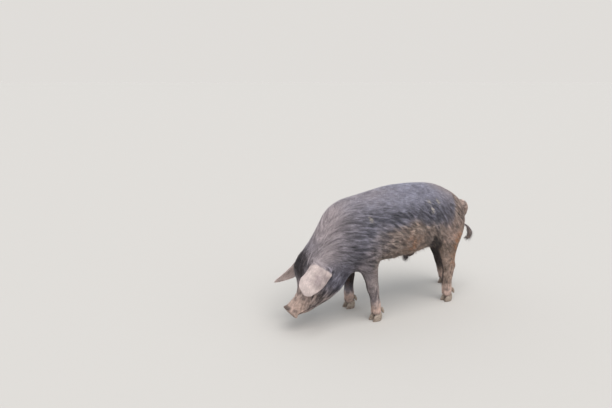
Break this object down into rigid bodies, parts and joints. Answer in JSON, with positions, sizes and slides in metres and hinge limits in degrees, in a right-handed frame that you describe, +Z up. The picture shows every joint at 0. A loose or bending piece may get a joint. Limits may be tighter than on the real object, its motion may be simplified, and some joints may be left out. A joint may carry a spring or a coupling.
{
  "type": "pig",
  "caption": "Life-size still model of an adult black pig that stands on its feet with its head lowered to sniff the ground, lop ears forward over the eyes and a sparse bristly coat.",
  "frame": {"origin": "on the floor, under the middle of the bounding box", "axes": "the pig faces -X, its left side is -Y, +Z is up"},
  "size_m": [1.495, 0.4324, 0.808],
  "materials": {
    "hide": "dark slate-grey skin under a sparse, flat, bristly coat with pale combed streaks and dried mud; dull with a soft sheen",
    "ear_skin": "pale pinkish-grey thin skin with fine short hair, darker towards the root; matt",
    "snout_skin": "bare pinkish-grey snout disc smeared with mud, with a darker rim; slightly moist",
    "hoof_horn": "worn horn, pale greyish brown with fine growth rings and mud; matt",
    "eye": "wet dark brown eye with a black pupil; glossy"
  },
  "bodies": {
    "root": {"ear_left": "ear_skin", "eye_left": "eye", "leg_fore_left": "hide", "claw_fore_left_inner": "hoof_horn", "dewclaw_fore_left_inner": "hoof_horn", "claw_fore_left_outer": "hoof_horn", "dewclaw_fore_left_outer": "hoof_horn", "leg_hind_left": "hide", "claw_hind_left_inner": "hoof_horn", "dewclaw_hind_left_inner": "hoof_horn", "claw_hind_left_outer": "hoof_horn", "dewclaw_hind_left_outer": "hoof_horn", "ear_right": "ear_skin", "eye_right": "eye", "leg_fore_right": "hide", "claw_fore_right_inner": "hoof_horn", "dewclaw_fore_right_inner": "hoof_horn", "claw_fore_right_outer": "hoof_horn", "dewclaw_fore_right_outer": "hoof_horn", "leg_hind_right": "hide", "claw_hind_right_inner": "hoof_horn", "dewclaw_hind_right_inner": "hoof_horn", "claw_hind_right_outer": "hoof_horn", "dewclaw_hind_right_outer": "hoof_horn", "trunk": "hide", "neck": "hide", "head": "hide", "sheath": "hide", "tail": "hide", "nose": "snout_skin"}
  },
  "joints": []
}
